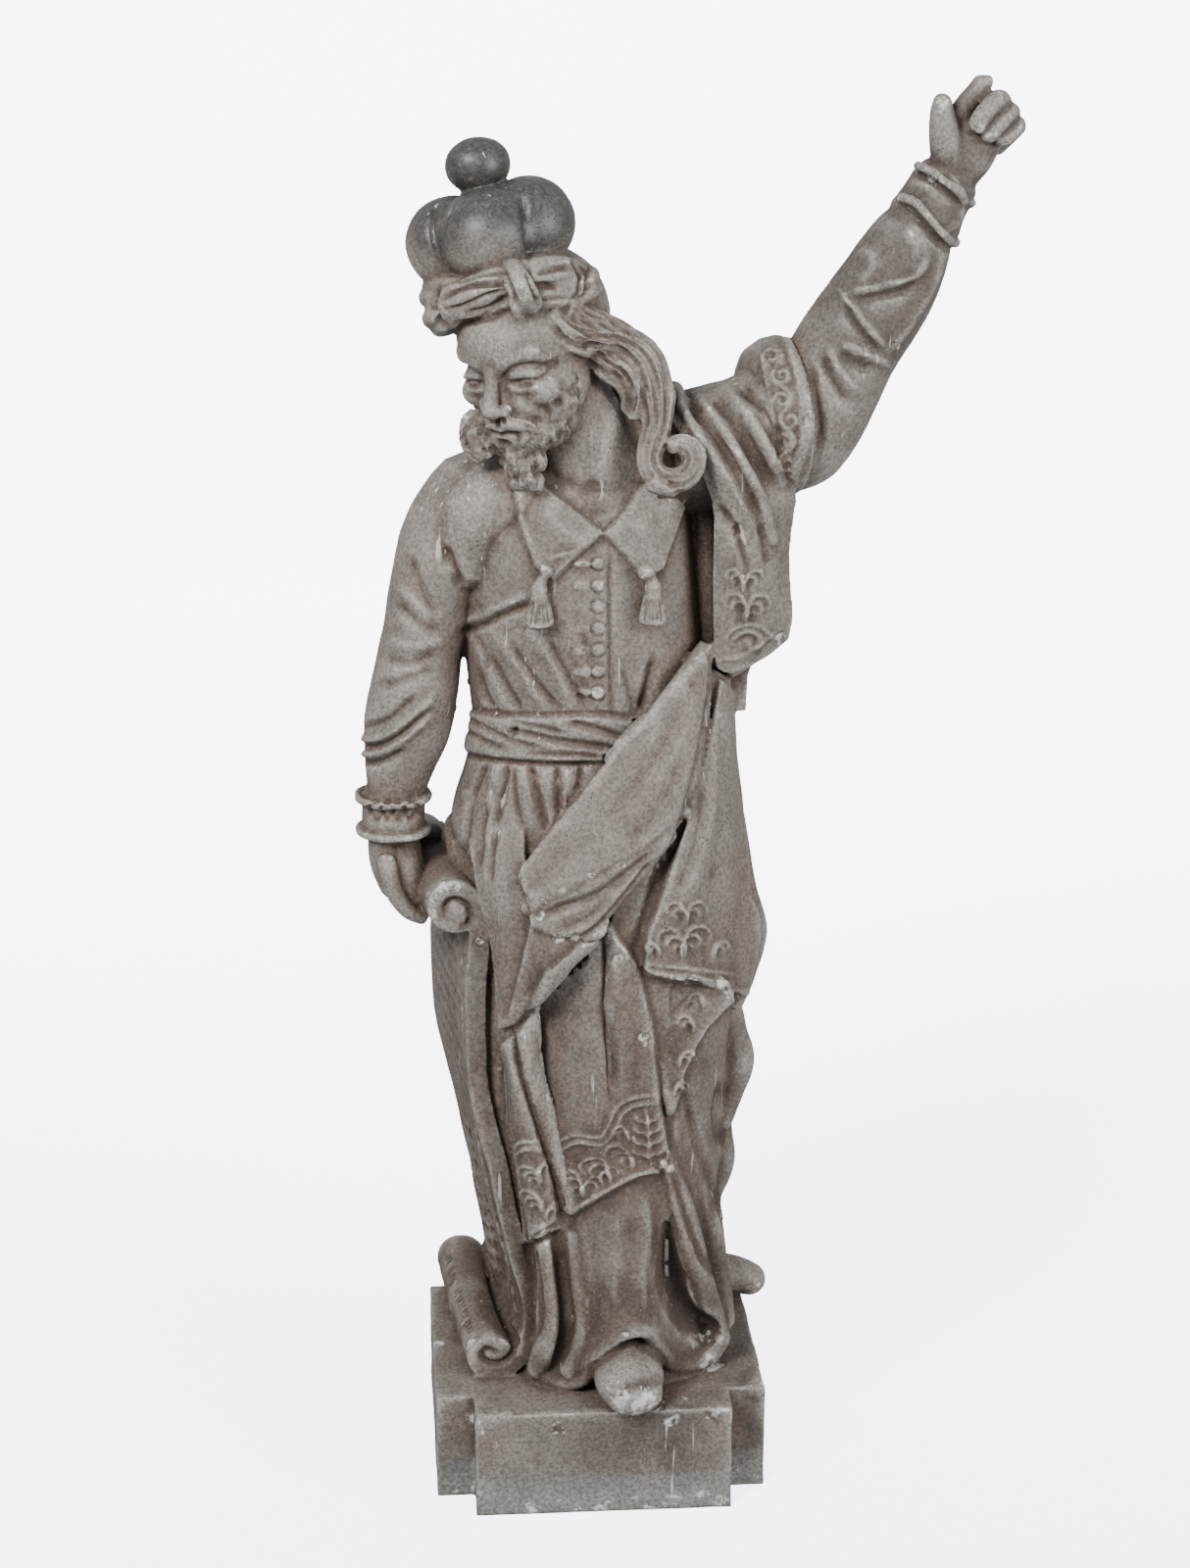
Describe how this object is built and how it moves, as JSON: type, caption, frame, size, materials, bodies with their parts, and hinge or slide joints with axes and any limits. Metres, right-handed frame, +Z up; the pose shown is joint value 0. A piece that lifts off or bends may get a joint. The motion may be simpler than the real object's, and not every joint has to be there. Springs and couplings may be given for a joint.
{
  "type": "carved stone statue",
  "caption": "Carved soapstone statue of a bearded prophet in a lobed hat and draped robes, one arm raised, a long scroll at the side, on a low stepped-corner plinth.",
  "frame": {"origin": "centre of the plinth's underside", "axes": "+Z up through the figure; the figure's front and the plinth's front face -Y; the raised arm is towards +X"},
  "size_m": [0.5351, 0.3049, 1.1818],
  "materials": {
    "soapstone": "worn carved soapstone, grey-green with brown patina, matt with a soft sheen on the hat, chipped at the edges"
  },
  "bodies": {
    "root": {"prophet_statue": "soapstone"}
  },
  "joints": []
}
